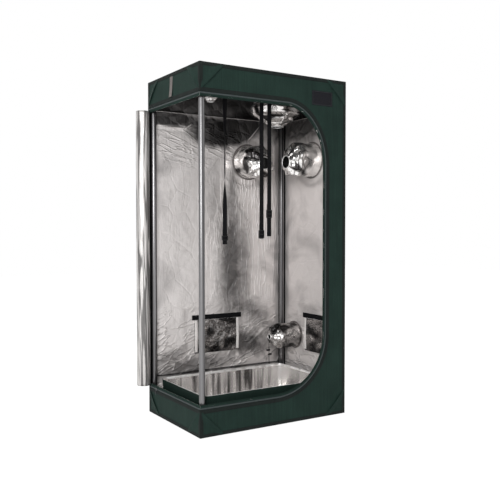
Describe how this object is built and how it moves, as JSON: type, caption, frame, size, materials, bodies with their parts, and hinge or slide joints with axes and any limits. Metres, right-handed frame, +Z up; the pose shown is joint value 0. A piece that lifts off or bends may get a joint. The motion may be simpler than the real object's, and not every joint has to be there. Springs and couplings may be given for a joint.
{
  "type": "indoor grow tent",
  "caption": "Upright fabric grow tent on a tube frame, with its corner door rolled up, gathered duct sleeves, vents, hanging straps and a spill tray.",
  "frame": {"origin": "middle of the floor's underside, on the surface that the tent stands on", "axes": "+Z up, -Y out of the front doorway, +X to the right seen from the front"},
  "size_m": [0.9796, 0.6317, 1.817],
  "materials": {
    "green_cloth": "woven, matt",
    "silver_lining": "crinkled reflective film",
    "steel_tube": "satin",
    "black_plastic": "satin",
    "black_webbing": "woven",
    "zip_tape": "ribbed",
    "grey_tape": "woven",
    "black_mesh": "net",
    "zinc_metal": "cast"
  },
  "bodies": {
    "tent": {"connector_bottom_front_left": "black_plastic", "connector_bottom_front_right": "black_plastic", "connector_bottom_back_left": "black_plastic", "connector_bottom_back_right": "black_plastic", "connector_top_front_left": "black_plastic", "connector_top_front_right": "black_plastic", "connector_top_back_left": "black_plastic", "connector_top_back_right": "black_plastic", "post_front_left": "steel_tube", "post_front_right": "steel_tube", "post_back_left": "steel_tube", "post_back_right": "steel_tube", "top_rail_front": "steel_tube", "top_rail_back": "steel_tube", "top_rail_left": "steel_tube", "top_rail_right": "steel_tube", "bottom_rail_front": "steel_tube", "bottom_rail_back": "steel_tube", "bottom_rail_left": "steel_tube", "bottom_rail_right": "steel_tube", "front_panel": "green_cloth", "back_panel": "silver_lining", "right_panel": "silver_lining", "roof_panel": "green_cloth", "floor_panel": "green_cloth", "left_upper_band": "green_cloth", "left_lower_band": "green_cloth", "zip_track": "zip_tape", "door_roll": "silver_lining", "label_patch": "black_webbing", "back_duct_sleeve": "silver_lining", "right_duct_sleeve": "silver_lining", "intake_sleeve": "silver_lining", "roof_duct_sleeve": "silver_lining", "roof_cable_sleeve": "silver_lining", "drawcord_tail": "black_webbing", "back_vent_mesh": "black_mesh", "back_vent_bar": "black_webbing", "side_vent_mesh": "black_mesh", "side_vent_bar": "black_webbing"},
    "crossbar_front": {"crossbar_front": "steel_tube"},
    "crossbar_back": {"crossbar_back": "steel_tube"},
    "strap_1_runner": {"strap_1_loop": "black_webbing"},
    "strap_2_runner": {"strap_2_loop": "black_webbing"},
    "strap_3_runner": {"strap_3_loop": "black_webbing"},
    "strap_1": {"strap_1_webbing": "black_webbing"},
    "strap_2": {"strap_2_webbing": "black_webbing"},
    "strap_3": {"strap_3_webbing": "black_webbing"},
    "strap_1_adjuster": {"strap_1_buckle": "black_plastic"},
    "strap_2_adjuster": {"strap_2_buckle": "black_plastic"},
    "strap_3_adjuster": {"strap_3_buckle": "black_plastic"},
    "zip_slider": {"zip_slider": "zinc_metal"},
    "zip_pull": {"zip_pull": "zinc_metal"},
    "hanging_tag": {"hanging_tag": "grey_tape"},
    "back_vent_flap": {"back_vent_flap": "silver_lining"},
    "side_vent_flap": {"side_vent_flap": "silver_lining"},
    "cord_lock_upper": {"cord_lock_upper": "black_plastic"},
    "cord_lock_lower": {"cord_lock_lower": "black_plastic"},
    "spill_tray": {"spill_tray": "silver_lining"}
  },
  "joints": [
    {"name": "crossbar_front_slide", "type": "slide", "parent": "tent", "child": "crossbar_front", "axis": [0, 1, 0], "range_m": [-0.075, 0]},
    {"name": "crossbar_back_slide", "type": "slide", "parent": "tent", "child": "crossbar_back", "axis": [0, 1, 0], "range_m": [0, 0.075]},
    {"name": "strap_1_slide", "type": "slide", "parent": "crossbar_front", "child": "strap_1_runner", "axis": [1, 0, 0], "range_m": [-0.115, 0.09]},
    {"name": "strap_2_slide", "type": "slide", "parent": "crossbar_front", "child": "strap_2_runner", "axis": [1, 0, 0], "range_m": [-0.09, 0.006]},
    {"name": "strap_3_slide", "type": "slide", "parent": "crossbar_front", "child": "strap_3_runner", "axis": [1, 0, 0], "range_m": [-0.006, 0.2]},
    {"name": "strap_1_swing", "type": "hinge", "parent": "strap_1_runner", "child": "strap_1", "pos_m": [-0.233, -0.165, 1.73505], "axis": [1, 0, 0], "range_deg": [-15, 15]},
    {"name": "strap_2_swing", "type": "hinge", "parent": "strap_2_runner", "child": "strap_2", "pos_m": [-0.009, -0.165, 1.73505], "axis": [1, 0, 0], "range_deg": [-15, 15]},
    {"name": "strap_3_swing", "type": "hinge", "parent": "strap_3_runner", "child": "strap_3", "pos_m": [0.04, -0.165, 1.73505], "axis": [1, 0, 0], "range_deg": [-15, 15]},
    {"name": "strap_1_adjust", "type": "slide", "parent": "strap_1", "child": "strap_1_adjuster", "axis": [0, 0, 1], "range_m": [-0.015, 0.02]},
    {"name": "strap_2_adjust", "type": "slide", "parent": "strap_2", "child": "strap_2_adjuster", "axis": [0, 0, 1], "range_m": [0, 0.02]},
    {"name": "strap_3_adjust", "type": "slide", "parent": "strap_3", "child": "strap_3_adjuster", "axis": [0, 0, 1], "range_m": [-0.09, 0.02]},
    {"name": "zip_slide", "type": "slide", "parent": "tent", "child": "zip_slider", "axis": [0, -1, 0], "range_m": [0, 0.48]},
    {"name": "zip_pull_swing", "type": "hinge", "parent": "zip_slider", "child": "zip_pull", "pos_m": [-0.4577, 0.205, 0.143], "axis": [0, 1, 0], "range_deg": [0, 150]},
    {"name": "hanging_tag_swing", "type": "hinge", "parent": "tent", "child": "hanging_tag", "pos_m": [-0.45105, 0.01, 1.8], "axis": [0, 1, 0], "range_deg": [0, 90]},
    {"name": "back_vent_flap_fold", "type": "hinge", "parent": "tent", "child": "back_vent_flap", "pos_m": [-0.02, 0.29745, 0.295], "axis": [1, 0, 0], "range_deg": [0, 130]},
    {"name": "side_vent_flap_fold", "type": "hinge", "parent": "tent", "child": "side_vent_flap", "pos_m": [0.44745, -0.084, 0.295], "axis": [0, -1, 0], "range_deg": [0, 130]},
    {"name": "cord_lock_upper_slide", "type": "slide", "parent": "tent", "child": "cord_lock_upper", "axis": [0, 0, 1], "range_m": [-0.006, 0.03]},
    {"name": "cord_lock_lower_slide", "type": "slide", "parent": "tent", "child": "cord_lock_lower", "axis": [0, 0, 1], "range_m": [-0.02, 0.006]},
    {"name": "spill_tray_lift", "type": "slide", "parent": "tent", "child": "spill_tray", "axis": [0, 0, 1], "range_m": [0, 0.04]}
  ]
}
